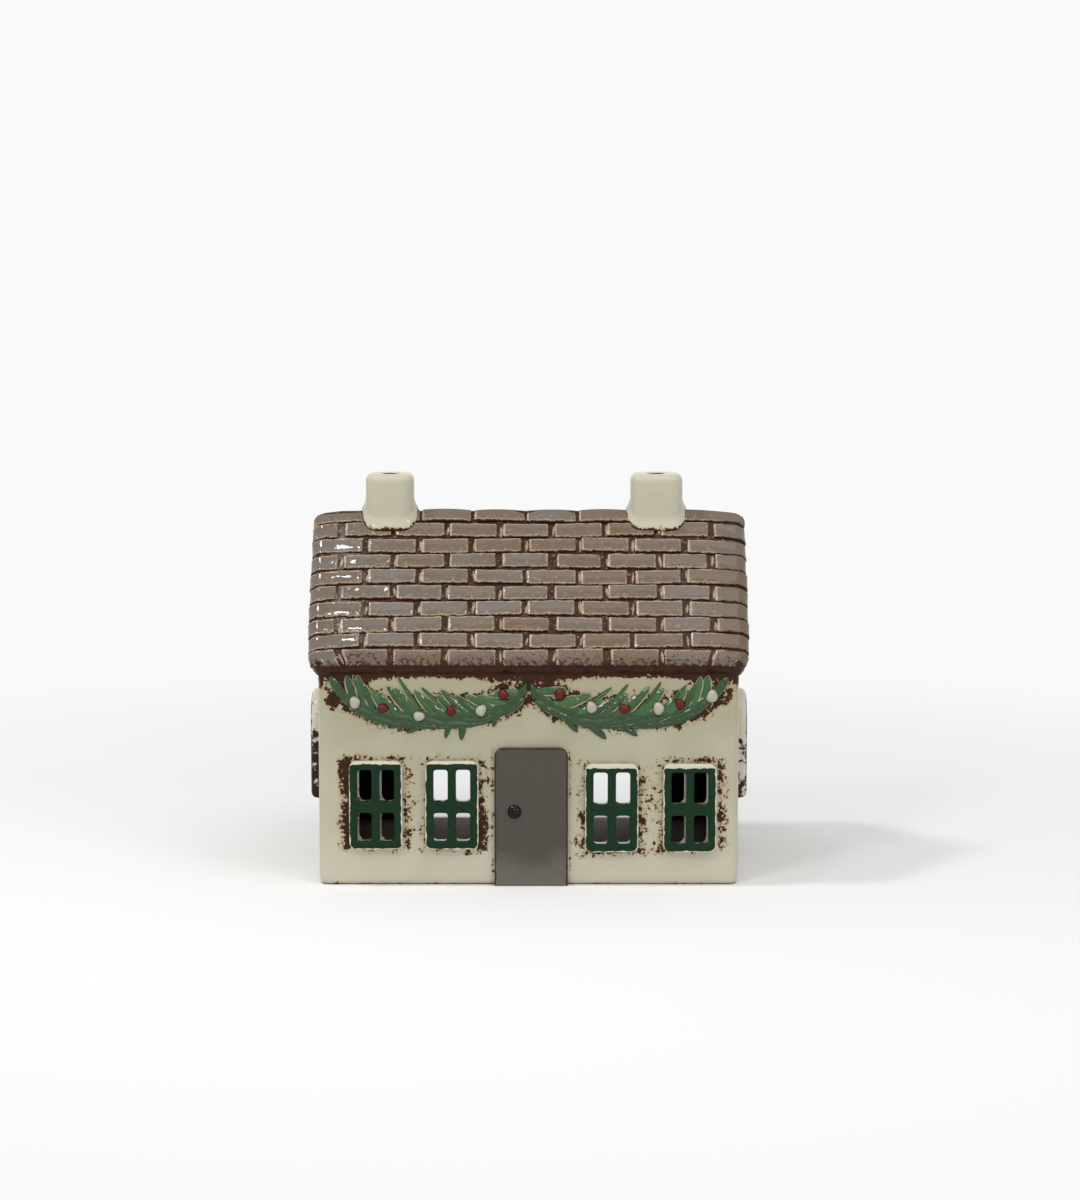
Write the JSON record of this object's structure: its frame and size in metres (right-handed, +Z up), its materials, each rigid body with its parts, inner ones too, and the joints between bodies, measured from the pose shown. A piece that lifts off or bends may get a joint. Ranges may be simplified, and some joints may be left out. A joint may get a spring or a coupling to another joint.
{
  "type": "tealight house",
  "caption": "Glazed stoneware cottage that holds a loose tealight: brick-tiled roof with chimneys, pierced windows, door and leafy swags in relief, and an arch at the back.",
  "frame": {"origin": "middle of the base, on the surface the house stands on", "axes": "+X along the ridge to the right as seen from the front, +Y from the door front to the open back, +Z up"},
  "size_m": [0.16, 0.108, 0.1431],
  "materials": {
    "cream_glaze": "glossy",
    "bare_stoneware": "matte",
    "roof_glaze": "glossy",
    "green_glaze": "glossy",
    "door_glaze": "glossy",
    "knob_glaze": "glossy",
    "leaf_glaze": "glossy",
    "red_glaze": "glossy",
    "white_glaze": "glossy",
    "foil": "satin",
    "tin": "satin",
    "wax": "satin",
    "cotton": "matte"
  },
  "bodies": {
    "house": {"floor_slab": "bare_stoneware", "front_wall": "cream_glaze", "back_wall": "cream_glaze", "left_gable": "cream_glaze", "right_gable": "cream_glaze", "left_gable_window": "green_glaze", "right_gable_window": "green_glaze", "front_roof_slab": "roof_glaze", "back_roof_slab": "roof_glaze", "left_chimney": "cream_glaze", "right_chimney": "cream_glaze", "left_outer_window": "green_glaze", "left_inner_window": "green_glaze", "right_inner_window": "green_glaze", "right_outer_window": "green_glaze", "front_door": "door_glaze", "door_knob": "knob_glaze", "left_garland": "leaf_glaze", "right_garland": "leaf_glaze", "red_berries": "red_glaze", "white_berries": "white_glaze"},
    "tealight": {"tealight_cup": "foil", "wax": "wax", "wick_sustainer": "tin", "wick": "cotton"}
  },
  "joints": [
    {"name": "tealight_slide", "type": "slide", "parent": "house", "child": "tealight", "axis": [0, 1, 0], "range_m": [0, 0.085]}
  ]
}
